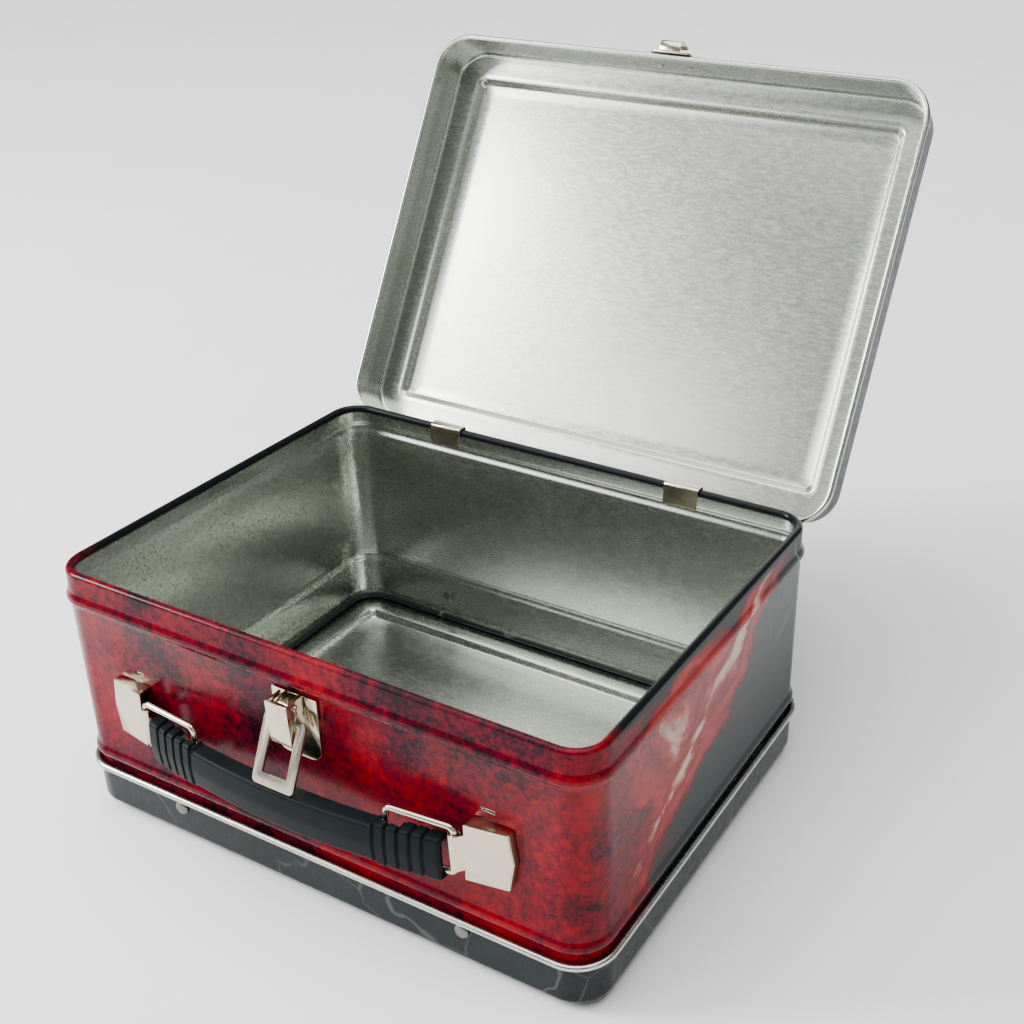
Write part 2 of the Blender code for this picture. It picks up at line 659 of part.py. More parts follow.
def make_bail(mat):
    """Flat frame with its upper side open; two inward stubs turn in the lever's cheeks."""
    outer, inner = BAIL_WIDTH / 2, BAIL_WINDOW / 2
    reach, sill = BAIL_REACH, BAIL_REACH - BAIL_CROSSBAR
    eye = BAIL_EYE
    outline = [(-inner, -eye * 0.6), (-inner, sill), (inner, sill), (inner, -eye * 0.6)]
    outline += arc(outer - eye, -0.1 * MM, eye, -90, 0, 3)
    outline += arc(outer - eye, reach - eye, eye, 0, 90, 3)
    outline += arc(-outer + eye, reach - eye, eye, 90, 180, 3)
    outline += arc(-outer + eye, -0.1 * MM, eye, 180, 270, 3)
    bail = prism("latch_bail", outline, -BAIL_SHEET / 2, BAIL_SHEET / 2, on_bail, mat)
    stub_in = LEVER_WIDTH / 2 - LEVER_SHEET - CLEARANCE
    for side in (-1, 1):
        start = BAIL_PIVOT + Vector((side * stub_in, 0, 0))
        end = BAIL_PIVOT + Vector((side * (inner + 1 * MM), 0, 0))
        weld(bail, cylinder("stub", start, end, PIN_RADIUS, 10))
    return bail


# ---------------------------------------------------------------- handle
def share_along_grip(x):
    return (x / GRIP_HALF_LENGTH) ** 2


def grip_face(x):
    return GRIP_FACE_MIDDLE + (GRIP_FACE_END - GRIP_FACE_MIDDLE) * share_along_grip(x)


def grip_back(x):
    return GRIP_BACK_MIDDLE + (GRIP_BACK_END - GRIP_BACK_MIDDLE) * share_along_grip(x)


def grip_section(x):
    """Section (standoff, z) of the grip: rounded face, hollow and open at the back."""
    face, back = grip_face(x), grip_back(x)
    in_block = abs(x) > GRIP_HALF_LENGTH - GRIP_BLOCK_LENGTH - 0.1 * MM
    half = (GRIP_HEIGHT_END if in_block else GRIP_HEIGHT_MIDDLE) / 2
    crown, radius, wall = GRIP_CROWN, GRIP_EDGE_RADIUS, GRIP_WALL
    points = [(back, -half)]
    points += arc(face - crown - radius, -half + radius, radius, -90, 0, 4)
    points += [(face, 0)]
    points += arc(face - crown - radius, half - radius, radius, 0, 90, 4)
    points += [(back, half),
               (back, half - wall),
               (face - crown - wall, half - wall),
               (face - crown - wall, -half + wall),
               (back, -half + wall)]
    return [(s, GRIP_Z + z) for s, z in points]


def make_grip(mat):
    block = GRIP_HALF_LENGTH - GRIP_BLOCK_LENGTH
    shoulder = block - (GRIP_HEIGHT_END - GRIP_HEIGHT_MIDDLE) / 2
    half_stations = [shoulder * i / 4 for i in range(5)]
    half_stations += [block + GRIP_BLOCK_LENGTH * i / 3 for i in range(4)]
    stations = [-x for x in half_stations[:0:-1]] + half_stations
    bm = bmesh.new()
    rings = [[bm.verts.new(front_side(s, z, x)) for s, z in grip_section(x)] for x in stations]
    bm.faces.new(rings[0])
    bm.faces.new(rings[-1])
    for lower, upper in zip(rings, rings[1:]):
        count = len(lower)
        for i in range(count):
            j = (i + 1) % count
            bm.faces.new((lower[i], lower[j], upper[j], upper[i]))
    bmesh.ops.triangulate(bm, faces=bm.faces)
    grip = new_object("handle_grip", bm, mat)
    for side in (-1, 1):
        for edge in (-1, 1):
            combine(grip, tip_slot(side, edge), "DIFFERENCE", solver="MANIFOLD")
    return grip


def loop_radius():
    """Plan distance from a loop's pivot to its tips."""
    return math.hypot(LOOP_PIVOT_X - LOOP_TIP_X, LOOP_TIP_STANDOFF - LOOP_PIVOT_STANDOFF)


def tip_travel():
    """How far a tip moves along X while the handle pulls out."""
    out = LOOP_TIP_STANDOFF + GRIP_TRAVEL - LOOP_PIVOT_STANDOFF
    reach = math.sqrt(loop_radius() ** 2 - out ** 2)
    return LOOP_PIVOT_X - reach - LOOP_TIP_X


def tip_slot(side, edge):
    """A slot through the grip's upper or lower wall, in which a loop's tip slides."""
    play = WIRE_RADIUS + SLOT_PLAY
    near = LOOP_TIP_X - play
    far = LOOP_TIP_X + tip_travel() + play
    low_x, high_x = sorted((side * near, side * far))
    wall_z = GRIP_Z + edge * GRIP_HEIGHT_END / 2
    low = (low_x, FRONT - LOOP_TIP_STANDOFF - play, wall_z - 3 * MM)
    high = (high_x, FRONT - LOOP_TIP_STANDOFF + play, wall_z + 3 * MM)
    return box("tip_slot", low, high)


def make_loop(name, side, mat):
    """Wire loop: pivot wire in the bracket, two long wires, tips turned down into the grip."""
    pivot = (LOOP_PIVOT_X, LOOP_PIVOT_STANDOFF)
    tip = (LOOP_TIP_X, LOOP_TIP_STANDOFF)
    bend = LOOP_BEND
    half = LOOP_HEIGHT / 2

    def along(share, z):
        x = pivot[0] + (tip[0] - pivot[0]) * share
        standoff = pivot[1] + (tip[1] - pivot[1]) * share
        return Vector((side * x, FRONT - standoff, LOOP_Z + z))

    length = loop_radius()
    points = [along(1, half - UPPER_TIP)]
    for a, b in arc(length - bend, half - bend, bend, 0, 90, 3):
        points.append(along(a / length, b))
    for a, b in arc(bend, half - bend, bend, 90, 180, 3):
        points.append(along(a / length, b))
    for a, b in arc(bend, -half + bend, bend, 180, 270, 3):
        points.append(along(a / length, b))
    for a, b in arc(length - bend * 0.75, -half - bend * 0.75, bend * 0.75, 90, 0, 3):
        points.append(along(a / length, b))
    points.append(along(1, -half - LOWER_TIP))
    return tube(name, points, WIRE_RADIUS, mat)


def bracket_slots():
    slots = []
    for side in (-1, 1):
        low_x, high_x = sorted((side * (PRONG_X - PRONG_WIDTH / 2 - CLEARANCE),
                                side * (PRONG_X + PRONG_WIDTH / 2 + CLEARANCE)))
        for edge in (-1, 1):
            z = LOOP_Z + edge * (BRACKET_HEIGHT - BRACKET_SHEET) / 2
            reach = BRACKET_SHEET / 2 + CLEARANCE
            slots.append(((low_x, FRONT - 2 * MM, z - reach),
                          (high_x, FRONT + 2 * MM, z + reach)))
    return slots


def make_bracket(name, side, mat):
    """A raised plate with flanges back to the wall and a rolled eye round the loop."""
    half = BRACKET_SHEET / 2

    def plan(x, standoff, z):
        return Vector((side * x, FRONT - standoff, LOOP_Z + z))

    outer = (BRACKET_OUTER_X - half, BRACKET_FACE_OUTER - half)
    inner = (BRACKET_INNER_X, BRACKET_FACE_INNER - half)
    high = BRACKET_HEIGHT / 2
    plate = prism(name, strip_outline([outer, inner], BRACKET_SHEET), -high, high, plan, mat)
    eye = WIRE_RADIUS + CLEARANCE + half
    neck = [(BRACKET_INNER_X + 1 * MM, inner[1] - 0.15 * MM), (BRACKET_INNER_X, inner[1])]
    neck += arc(LOOP_PIVOT_X, LOOP_PIVOT_STANDOFF, eye, 60, 330, 9)
    weld(plate, prism("neck", strip_outline(neck, BRACKET_SHEET),
                      -BRACKET_NECK_HEIGHT / 2, BRACKET_NECK_HEIGHT / 2, plan))
    foot = CLEARANCE
    flange = [(BRACKET_INNER_X + half, foot), (outer[0] + half, foot),
              (outer[0] + half, outer[1]), (BRACKET_INNER_X + half, inner[1])]
    for edge in (-1, 1):
        low, top = sorted((edge * high, edge * (high - BRACKET_SHEET)))
        weld(plate, prism("flange", flange, low, top, plan))
    end = [(outer[0] - half, foot), (outer[0] + half, foot),
           (outer[0] + half, outer[1]), (outer[0] - half, outer[1])]
    weld(plate, prism("end_flange", end, -high, high, plan))
    low_x, high_x = sorted((side * (PRONG_X - PRONG_WIDTH / 2),
                            side * (PRONG_X + PRONG_WIDTH / 2)))
    for edge in (-1, 1):
        weld(plate, clinched_prong(
            "prong", high - half, foot + 0.6 * MM,
            lambda s, a, x, edge=edge: Vector((x, FRONT - s, LOOP_Z + edge * a)),
            low_x, high_x))
    point_outwards(plate, side, foot, outer[1])
    return plate


def point_outwards(plate, side, foot, face):
    """Draw the bracket's outer end out to a blunt point at mid height."""
    bm = bmesh.new()
    bm.from_mesh(plate.data)
    everything = list(bm.verts) + list(bm.edges) + list(bm.faces)
    bmesh.ops.bisect_plane(bm, geom=everything, plane_co=(0, 0, LOOP_Z), plane_no=(0, 0, 1))
    fall = (BRACKET_FACE_INNER - BRACKET_FACE_OUTER) / BRACKET_LENGTH * BRACKET_POINT
    for vertex in bm.verts:
        at_end = side * vertex.co.x > BRACKET_OUTER_X - 1.5 * BRACKET_SHEET
        if at_end and abs(vertex.co.z - LOOP_Z) < 0.01 * MM:
            standoff = FRONT - vertex.co.y
            vertex.co.x += side * BRACKET_POINT
            vertex.co.y += fall * (standoff - foot) / (face - foot)
    bm.to_mesh(plate.data)
    bm.free()


# ---------------------------------------------------------------- assembly
def main():
    for obj in list(bpy.data.objects):
        bpy.data.objects.remove(obj)

    litho = material("red_litho", (0.30, 0.012, 0.014), 0.3, 0.0)
    black = material("black_litho", (0.012, 0.016, 0.017), 0.4, 0.0)
    nickel = material("nickel", (0.72, 0.68, 0.60), 0.22, 1.0)
    satin = material("satin_steel", (0.48, 0.46, 0.41), 0.4, 1.0)
    plastic = material("black_plastic", (0.010, 0.012, 0.013), 0.45, 0.0)

    pieces = [make_band(litho), make_tray(black)] + make_tray_rivets(nickel)
    pieces.append(make_hinge_clip("hinge_clip_left", -CLIP_SPACING / 2, nickel))
    pieces.append(make_hinge_clip("hinge_clip_right", CLIP_SPACING / 2, nickel))
    pieces.append(make_latch_backplate(nickel))
    pieces.append(make_lever_pin(nickel))
    pieces.append(make_bracket("handle_bracket_left", -1, nickel))
    pieces.append(make_bracket("handle_bracket_right", 1, nickel))

    lid_pivot = empty_at("lid_pivot", HINGE)
    for piece in [make_lid(black), make_catch_plate(nickel)] + make_catch_rivets(nickel):
        hang_on(piece, lid_pivot)
        pieces.append(piece)
    lid_pivot.rotation_euler.x = math.radians(-LID_OPEN_ANGLE)

    lever = make_lever(nickel)
    hang_on(lever, empty_at("lever_pivot", LEVER_PIVOT))
    bail = make_bail(satin)
    hang_on(bail, empty_at("bail_pivot", BAIL_PIVOT))
    grip = make_grip(plastic)
    hang_on(grip, empty_at("grip_centre", Vector((0, FRONT - GRIP_FACE_MIDDLE, GRIP_Z))))
    pieces += [lever, bail, grip]
    for name, side in (("handle_loop_left", -1), ("handle_loop_right", 1)):
        loop = make_loop(name, side, nickel)
        place = Vector((side * LOOP_PIVOT_X, FRONT - LOOP_PIVOT_STANDOFF, LOOP_Z))
        hang_on(loop, empty_at(name + "_pivot", place))
        pieces.append(loop)

    for piece in pieces:
        shade(piece)


main()
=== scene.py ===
"""Looks of the metal lunch box: fine sheet metal shells, hardware, print and studio."""

import json
import math

import bmesh
import bpy
from mathutils import Matrix, Vector


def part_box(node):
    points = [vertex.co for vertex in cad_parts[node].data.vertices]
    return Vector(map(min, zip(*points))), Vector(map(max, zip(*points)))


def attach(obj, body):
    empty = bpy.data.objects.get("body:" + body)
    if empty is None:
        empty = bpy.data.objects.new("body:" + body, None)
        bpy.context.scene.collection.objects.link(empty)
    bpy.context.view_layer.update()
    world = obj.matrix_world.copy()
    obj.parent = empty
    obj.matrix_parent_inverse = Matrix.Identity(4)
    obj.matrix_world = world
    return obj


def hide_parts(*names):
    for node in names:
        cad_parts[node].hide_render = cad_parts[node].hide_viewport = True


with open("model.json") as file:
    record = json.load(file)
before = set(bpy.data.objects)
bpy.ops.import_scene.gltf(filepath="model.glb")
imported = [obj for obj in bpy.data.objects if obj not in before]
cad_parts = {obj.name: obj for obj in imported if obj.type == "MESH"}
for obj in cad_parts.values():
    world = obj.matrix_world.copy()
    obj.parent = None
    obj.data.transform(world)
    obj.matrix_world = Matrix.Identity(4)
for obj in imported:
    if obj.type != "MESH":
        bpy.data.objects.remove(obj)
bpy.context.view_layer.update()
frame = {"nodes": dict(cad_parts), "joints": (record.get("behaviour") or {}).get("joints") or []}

MM = 0.001
JOINTS = {joint["name"]: joint for joint in frame["joints"]}

# ---------------------------------------------------------------- sizes that the frame does not give
SHEET = 0.5 * MM
CURL_RADIUS = 1.1 * MM
BEAD_RELIEF = 1.1 * MM
BEAD_HEIGHT = 5.4 * MM
RIM_ROLL = 1.5 * MM
CORNER_RADIUS = 11.5 * MM
PANEL_RAISE = 3 * MM
LEDGE_WIDTH = 11.5 * MM
STEP_RUN = 2.4 * MM
PRESSING_CORNER = 2 * MM
PANEL_CORNER = 3 * MM
TRAY_TO_BEAD = 3 * MM
RIM_TO_BEAD = 7.4 * MM
PRONG_X = 66.7 * MM
PRONG_WIDTH = 4.8 * MM
PRONG_SLOT = 1.3 * MM
PRONG_FROM_EDGE = 0.35 * MM
SLOT_REACH = 2 * MM
CLIP_SIDE_PLAY = 0.5 * MM
CLIP_SLOT_HEIGHT = 4 * MM
EASED_EDGE = 0.12 * MM
EASED_LATCH_EDGE = 0.16 * MM
EASED_RIVET_EDGE = 0.05 * MM
WIRE_RADIUS = 1.0 * MM
LOOP_BEND = 2.0 * MM
LOOP_LENGTH = 22.4 * MM
LOOP_STANDS_OUT = 2.0 * MM
LOOP_UPPER_TIP = 6.2 * MM

# ---------------------------------------------------------------- sizes read from the frame
BAND_LOW, BAND_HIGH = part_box("body_band")
TRAY_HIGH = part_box("bottom_tray")[1]
HALF_WIDTH = (BAND_HIGH.x - BAND_LOW.x) / 2 - BEAD_RELIEF
HALF_DEPTH = (BAND_HIGH.y - BAND_LOW.y) / 2 - BEAD_RELIEF
FRONT = -HALF_DEPTH
RIM_TOP = BAND_HIGH.z
BAND_BOTTOM = BAND_LOW.z
TRAY_CURL_Z = TRAY_HIGH.z - CURL_RADIUS
TRAY_GAP = TRAY_HIGH.x - HALF_WIDTH - 2 * CURL_RADIUS
PRESSING_DEPTH = TRAY_CURL_Z - PANEL_RAISE
HINGE = Vector(JOINTS["lid_hinge"]["pos_m"])
LID_OPEN = math.radians(JOINTS["lid_hinge"]["range_deg"][1])
LID_GAP = HINGE.y - HALF_DEPTH - CURL_RADIUS
LOWER_BEAD = TRAY_CURL_Z + TRAY_TO_BEAD
UPPER_BEAD = RIM_TOP - RIM_TO_BEAD - BEAD_HEIGHT

CORNER_STEPS = 18
ROLL_STEPS = 18


# ---------------------------------------------------------------- mesh helpers
def arc(centre_a, centre_b, radius, start, end, steps):
    """Points on an arc in a plane, from start to end in degrees."""
    points = []
    for i in range(steps + 1):
        angle = math.radians(start + (end - start) * i / steps)
        points.append((centre_a + radius * math.cos(angle), centre_b + radius * math.sin(angle)))
    return points


def thicken(path, thickness):
    """The two sides of a strip of this thickness about a centre line."""
    normals = []
    for (a0, b0), (a1, b1) in zip(path, path[1:]):
        length = math.hypot(a1 - a0, b1 - b0)
        normals.append(((b0 - b1) / length, (a1 - a0) / length))
    left, right = [], []
    for i, (a, b) in enumerate(path):
        before = normals[max(i - 1, 0)]
        after = normals[min(i, len(normals) - 1)]
        scale = thickness / (1 + before[0] * after[0] + before[1] * after[1])
        da = (before[0] + after[0]) * scale / 2
        db = (before[1] + after[1]) * scale / 2
        left.append((a + da, b + db))
        right.append((a - da, b - db))
    return left, right


def plan_ring(standoff):
    """The band's rounded rectangle in plan, moved outwards by standoff."""
    radius = max(CORNER_RADIUS + standoff, PANEL_CORNER)
    points = []
    for start, sx, sy in ((0, 1, 1), (90, -1, 1), (180, -1, -1), (270, 1, -1)):
        centre_x = sx * (HALF_WIDTH + standoff - radius)
        centre_y = sy * (HALF_DEPTH + standoff - radius)
        points += arc(centre_x, centre_y, radius, start, start + 90, CORNER_STEPS)
    return points


def link(name, bm, materials=()):
    """Turn a bmesh into an object with its faces pointing out."""
    bmesh.ops.recalc_face_normals(bm, faces=bm.faces)
    if bm.calc_volume(signed=True) < 0:
        bmesh.ops.reverse_faces(bm, faces=bm.faces)
    mesh = bpy.data.meshes.new(name)
    bm.to_mesh(mesh)
    bm.free()
    for mat in materials:
        mesh.materials.append(mat)
    obj = bpy.data.objects.new(name, mesh)
    bpy.context.scene.collection.objects.link(obj)
    return obj


def shade(obj, angle=35):
    obj.data.shade_smooth()
    obj.data.set_sharp_from_angle(angle=math.radians(angle))


def box_tool(low, high):
    """A box that serves as a cutter."""
    bm = bmesh.new()
    bmesh.ops.create_cube(bm, size=1)
    for vertex in bm.verts:
        for k in range(3):
            vertex.co[k] = low[k] if vertex.co[k] < 0 else high[k]
    return link("cutter", bm)


def cut(target, tool):
    modifier = target.modifiers.new("cut", "BOOLEAN")
    modifier.operation = "DIFFERENCE"
    modifier.solver = "EXACT"
    modifier.object = tool
    bpy.context.view_layer.update()
    graph = bpy.context.evaluated_depsgraph_get()
    mesh = bpy.data.meshes.new_from_object(target.evaluated_get(graph))
    target.modifiers.clear()
    target.data = mesh
    bpy.data.objects.remove(tool)


def skin_rings(bm, rings, closed_ring=True):
    """Quads between each ring and the next. Returns them row by row."""
    rows = []
    for lower, upper in zip(rings, rings[1:]):
        count = len(lower)
        row = []
        for i in range(count if closed_ring else count - 1):
            j = (i + 1) % count
            row.append(bm.faces.new((lower[i], lower[j], upper[j], upper[i])))
        rows.append(row)
    return rows


TIN, PRINT = 0, 1


def swept_sheet(name, path, capped, flip_about, materials):
    """Sweep a sheet's centre line round the band's plan. Its left side is bare tinplate
    and its right side is printed; a rolled edge shows whichever side is outside."""
    left, right = thicken(path, SHEET)
    profile = left + right[::-1]
    if flip_about is not None:
        profile = [(standoff, flip_about - height) for standoff, height in profile]
    bm = bmesh.new()
    rings = [[bm.verts.new((x, y, z)) for x, y in plan_ring(standoff)] for standoff, z in profile]
    count = len(left)
    rows = skin_rings(bm, rings if capped else rings + [rings[0]])
    for index, row in enumerate(rows):
        for face in row:
            face.material_index = PRINT if count <= index < 2 * count - 1 else TIN
    if capped:
        inner = bm.faces.new(rings[0])
        inner.material_index = TIN
        outer = bm.faces.new(rings[-1])
        outer.material_index = PRINT
        bmesh.ops.poke(bm, faces=[inner, outer])
    return link(name, bm, materials)


# ---------------------------------------------------------------- node helpers
class Nodes:
    """A short way to build a procedural material."""

    def __init__(self, name):
        self.material = bpy.data.materials.new(name)
        self.material.use_nodes = True
        self.tree = self.material.node_tree
        self.shader = self.tree.nodes["Principled BSDF"]
        self.place = self.tree.nodes.new("ShaderNodeTexCoord").outputs["Object"]

    def set(self, **values):
        for name, value in values.items():
            self.shader.inputs[name.replace("_", " ")].default_value = value

    def feed(self, socket, value):
        if isinstance(value, bpy.types.NodeSocket):
            self.tree.links.new(value, socket)
        else:
            socket.default_value = value

    def math(self, operation, a, b=0.0, clamp=False):
        node = self.tree.nodes.new("ShaderNodeMath")
        node.operation = operation
        node.use_clamp = clamp
        self.feed(node.inputs[0], a)
        self.feed(node.inputs[1], b)
        return node.outputs[0]

    def stretch(self, scale, shift=(0, 0, 0), turn=(0, 0, 0), place=None):
        node = self.tree.nodes.new("ShaderNodeMapping")
        self.tree.links.new(place or self.place, node.inputs["Vector"])
        node.inputs["Scale"].default_value = scale
        node.inputs["Location"].default_value = shift
        node.inputs["Rotation"].default_value = turn
        return node.outputs["Vector"]

    def noise(self, scale, detail=4, roughness=0.55, distortion=0.0, place=None, colour=False):
        node = self.tree.nodes.new("ShaderNodeTexNoise")
        self.tree.links.new(place or self.place, node.inputs["Vector"])
        node.inputs["Scale"].default_value = scale
        node.inputs["Detail"].default_value = detail
        node.inputs["Roughness"].default_value = roughness
        node.inputs["Distortion"].default_value = distortion
        return node.outputs["Color" if colour else "Fac"]

    def cell_edges(self, scale, place):
        """Distance to the nearest border between random cells."""
        node = self.tree.nodes.new("ShaderNodeTexVoronoi")
        node.feature = "DISTANCE_TO_EDGE"
        self.tree.links.new(place, node.inputs["Vector"])
        node.inputs["Scale"].default_value = scale
        return node.outputs["Distance"]

    def warp(self, amount, scale, place=None):
        """The place moved about by a noise, for organic outlines."""
        source = place or self.place
        wobble = self.noise(scale, 3, place=source, colour=True)
        centred = self.tree.nodes.new("ShaderNodeVectorMath")
        centred.operation = "SUBTRACT"
        self.tree.links.new(wobble, centred.inputs[0])
        centred.inputs[1].default_value = (0.5, 0.5, 0.5)
        scaled = self.tree.nodes.new("ShaderNodeVectorMath")
        scaled.operation = "SCALE"
        self.tree.links.new(centred.outputs[0], scaled.inputs[0])
        scaled.inputs["Scale"].default_value = amount
        total = self.tree.nodes.new("ShaderNodeVectorMath")
        total.operation = "ADD"
        self.tree.links.new(source, total.inputs[0])
        self.tree.links.new(scaled.outputs[0], total.inputs[1])
        return total.outputs[0]

    def axes(self, place=None):
        node = self.tree.nodes.new("ShaderNodeSeparateXYZ")
        self.tree.links.new(place or self.place, node.inputs[0])
        return node.outputs

    def ramp(self, value, stops):
        node = self.tree.nodes.new("ShaderNodeValToRGB")
        self.tree.links.new(value, node.inputs["Fac"])
        elements = node.color_ramp.elements
        while len(elements) < len(stops):
            elements.new(0.5)
        for element, (position, colour) in zip(elements, stops):
            element.position = position
            element.color = (*colour, 1)
        return node.outputs["Color"]

    def mix(self, share, a, b, blend="MIX"):
        node = self.tree.nodes.new("ShaderNodeMix")
        node.data_type = "RGBA"
        node.blend_type = blend
        self.feed(node.inputs["Factor"], share)
        for index, value in ((6, a), (7, b)):
            if not isinstance(value, bpy.types.NodeSocket):
                value = (*value, 1)
            self.feed(node.inputs[index], value)
        return node.outputs[2]

    def span(self, value, low, high, to_low=0.0, to_high=1.0):
        node = self.tree.nodes.new("ShaderNodeMapRange")
        self.tree.links.new(value, node.inputs["Value"])
        for name, number in (("From Min", low), ("From Max", high),
                             ("To Min", to_low), ("To Max", to_high)):
            node.inputs[name].default_value = number
        return node.outputs["Result"]

    def colour(self, socket):
        self.tree.links.new(socket, self.shader.inputs["Base Color"])

    def rough(self, socket):
        self.tree.links.new(socket, self.shader.inputs["Roughness"])

    def bump(self, height, strength, distance):
        node = self.tree.nodes.new("ShaderNodeBump")
        node.inputs["Strength"].default_value = strength
        node.inputs["Distance"].default_value = distance
        self.tree.links.new(height, node.inputs["Height"])
        self.tree.links.new(node.outputs["Normal"], self.shader.inputs["Normal"])


# ---------------------------------------------------------------- materials
def tinplate():
    """Bare tinplate: a soft mirror with a rolled grain along X and a fine spangle."""
    n = Nodes("tinplate")
    grain = n.noise(1.0, 3, place=n.stretch((260, 900, 900)))
    spangle = n.noise(1500, 2, 0.7)
    cloud = n.noise(22, 3)
    n.set(Metallic=1.0)
    tone = n.math("ADD", n.math("MULTIPLY", cloud, 0.5), n.math("MULTIPLY", grain, 0.5))
    n.colour(n.ramp(tone, [(0.3, (0.44, 0.46, 0.42)), (0.7, (0.56, 0.58, 0.53))]))
    n.rough(n.span(n.math("ADD", n.math("MULTIPLY", grain, 0.5), n.math("MULTIPLY", spangle, 0.5)),
                   0.3, 0.7, 0.21, 0.31))
    n.bump(n.math("ADD", n.math("MULTIPLY", grain, 0.35), spangle), 0.06, 0.00006)
    return n.material


def branching_lines(n, scale, width, shift):
    """Thin wavering lines, broken up so that they branch and fade."""
    place = n.warp(0.02, 30, n.stretch((1, 1, 1), shift))
    edge = n.cell_edges(scale, place)
    line = n.span(edge, 0.0, width, 1.0, 0.0)
    patch = n.span(n.noise(28, 2, place=place), 0.48, 0.6)
    return n.math("MULTIPLY", line, patch, clamp=True)


def black_print():
    """Near-black print with faint grey branching lines, worn a little at random."""
    n = Nodes("black_print")
    fine = n.noise(380, 4)
    base = n.ramp(n.noise(40, 5, 0.6), [(0.3, (0.004, 0.006, 0.007)), (0.7, (0.011, 0.016, 0.018))])
    lines = branching_lines(n, 34, 0.018, (0.013, 0.021, 0.007))
    tinted = n.mix(n.math("MULTIPLY", lines, 0.40), base, (0.16, 0.17, 0.17))
    n.colour(tinted)
    n.rough(n.span(fine, 0.3, 0.7, 0.24, 0.38))
    n.set(IOR=1.22)
    n.bump(n.noise(260, 3), 0.05, 0.00005)
    return n.material


def red_grunge(n):
    """Deep red broken by black mottling, with scarlet patches."""
    patches = n.noise(17, 4, 0.6, place=n.warp(0.012, 40))
    mottle = n.noise(340, 7, 0.82, place=n.warp(0.003, 300))
    blot = n.noise(75, 6, 0.74)
    fleck = n.span(mottle, 0.40, 0.60)
    value = n.math("ADD", n.math("MULTIPLY", patches, 0.60),
                   n.math("ADD", n.math("MULTIPLY", fleck, 0.14), n.math("MULTIPLY", blot, 0.34)))
    return n.ramp(value, [(0.445, (0.008, 0.002, 0.004)),
                          (0.495, (0.030, 0.001, 0.006)),
                          (0.54, (0.085, 0.000, 0.008)),
                          (0.60, (0.140, 0.000, 0.007)),
                          (0.68, (0.240, 0.000, 0.005))])


def flowing_smear(n, place):
    """An abstract streak and cloud of red, salmon and cream, in the side walls' plane."""
    y, z = n.axes(place)[1:]
    ridge = n.math("ABSOLUTE", n.math("SUBTRACT", n.math("MULTIPLY", y, 0.62),
                                      n.math("SUBTRACT", z, 0.068)))
    streak = n.span(ridge, 0.0, 0.022, 1.0, 0.0)
    along = n.math("DIVIDE", n.math("ADD", y, 0.015), 0.050)
    upwards = n.math("DIVIDE", n.math("SUBTRACT", z, 0.072), 0.026)
    distance = n.math("ADD", n.math("MULTIPLY", along, along), n.math("MULTIPLY", upwards, upwards))
    cloud = n.span(distance, 0.0, 1.3, 0.95, 0.0)
    body = n.math("MAXIMUM", streak, cloud)
    flow = n.noise(1.0, 5, 0.55, 0.8, place=n.stretch((30, 26, 46), (0.3, 0.1, 0.55),
                                                      (0.55, 0, 0), place))
    value = n.math("ADD", n.math("MULTIPLY", body, 0.42), n.math("MULTIPLY", flow, 0.62))
    return n.ramp(value, [(0.44, (0.018, 0.024, 0.024)),
                          (0.475, (0.060, 0.004, 0.006)),
                          (0.54, (0.24, 0.004, 0.008)),
                          (0.61, (0.36, 0.020, 0.018)),
                          (0.66, (0.16, 0.003, 0.006)),
                          (0.71, (0.36, 0.030, 0.025)),
                          (0.765, (0.56, 0.42, 0.34))])


def band_print():
    """The band's print: red grunge on the front, charcoal round the corners, black rim."""
    n = Nodes("band_print")
    y, z = n.axes()[1:]
    wobble = n.noise(34, 6, 0.7)
    rough_edge = n.noise(240, 4, 0.7)
    across = n.math("ADD", y, n.math("MULTIPLY", n.math("SUBTRACT", wobble, 0.5), 0.10))
    across = n.math("ADD", across,
                    n.math("MULTIPLY", n.math("SUBTRACT", rough_edge, 0.5), 0.070))
    front_share = n.span(across, FRONT + 0.014, FRONT + 0.048, 1.0, 0.0)
    warped = n.warp(0.018, 30)
    smear = flowing_smear(n, warped)
    reach = n.span(n.math("ABSOLUTE", n.math("SUBTRACT", y, -0.012)), 0.040, 0.075, 1.0, 0.0)
    charcoal = n.ramp(n.noise(45, 5), [(0.3, (0.008, 0.012, 0.012)), (0.7, (0.022, 0.028, 0.028))])
    lines = branching_lines(n, 26, 0.035, (0.3, 0.12, 0.4))
    charcoal = n.mix(n.math("MULTIPLY", lines, 0.45), charcoal, (0.34, 0.33, 0.31))
    side = n.mix(reach, charcoal, smear)
    back_share = n.span(y, HALF_DEPTH - 0.012, HALF_DEPTH - 0.002)
    side = n.mix(back_share, side, charcoal)
    printed = n.mix(front_share, side, red_grunge(n))
    rim = n.math("MULTIPLY", n.span(z, RIM_TOP - 3.4 * MM, RIM_TOP - 2.4 * MM),
                 n.span(y, FRONT + 7 * MM, FRONT + 18 * MM))
    n.colour(n.mix(rim, printed, (0.006, 0.007, 0.008)))
    n.rough(n.span(n.noise(420, 4), 0.3, 0.7, 0.14, 0.24))
    n.set(IOR=1.22)
    n.bump(n.noise(55, 3), 0.04, 0.0002)
    return n.material


